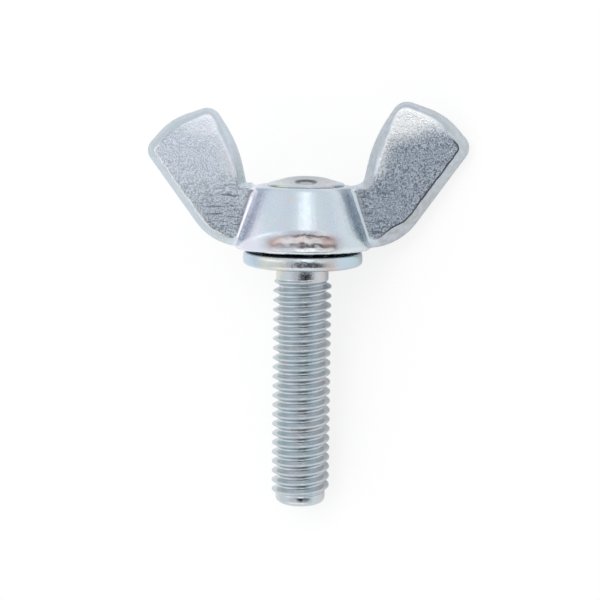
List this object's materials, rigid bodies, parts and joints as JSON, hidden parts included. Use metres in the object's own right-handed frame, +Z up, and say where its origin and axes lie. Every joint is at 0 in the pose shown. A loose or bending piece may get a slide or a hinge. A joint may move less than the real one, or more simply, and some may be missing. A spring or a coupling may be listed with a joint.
{
  "type": "wing screw",
  "caption": "Wing screw with a forged two-wing head riveted on a flanged stud with a metric thread, turned by hand to clamp parts together.",
  "frame": {"origin": "centre of the bounding box, on the surface the screw lies on", "axes": "+Y towards the wing head, +Z up from the surface, +X towards the larger wing"},
  "size_m": [0.03, 0.0422, 0.0147],
  "materials": {
    "zinc_head": "bright zinc plating over shot-blasted forged steel",
    "zinc_stud": "bright zinc plating on turned and rolled steel"
  },
  "bodies": {
    "root": {"wing_head": "zinc_head", "flanged_stud": "zinc_stud"}
  },
  "joints": []
}
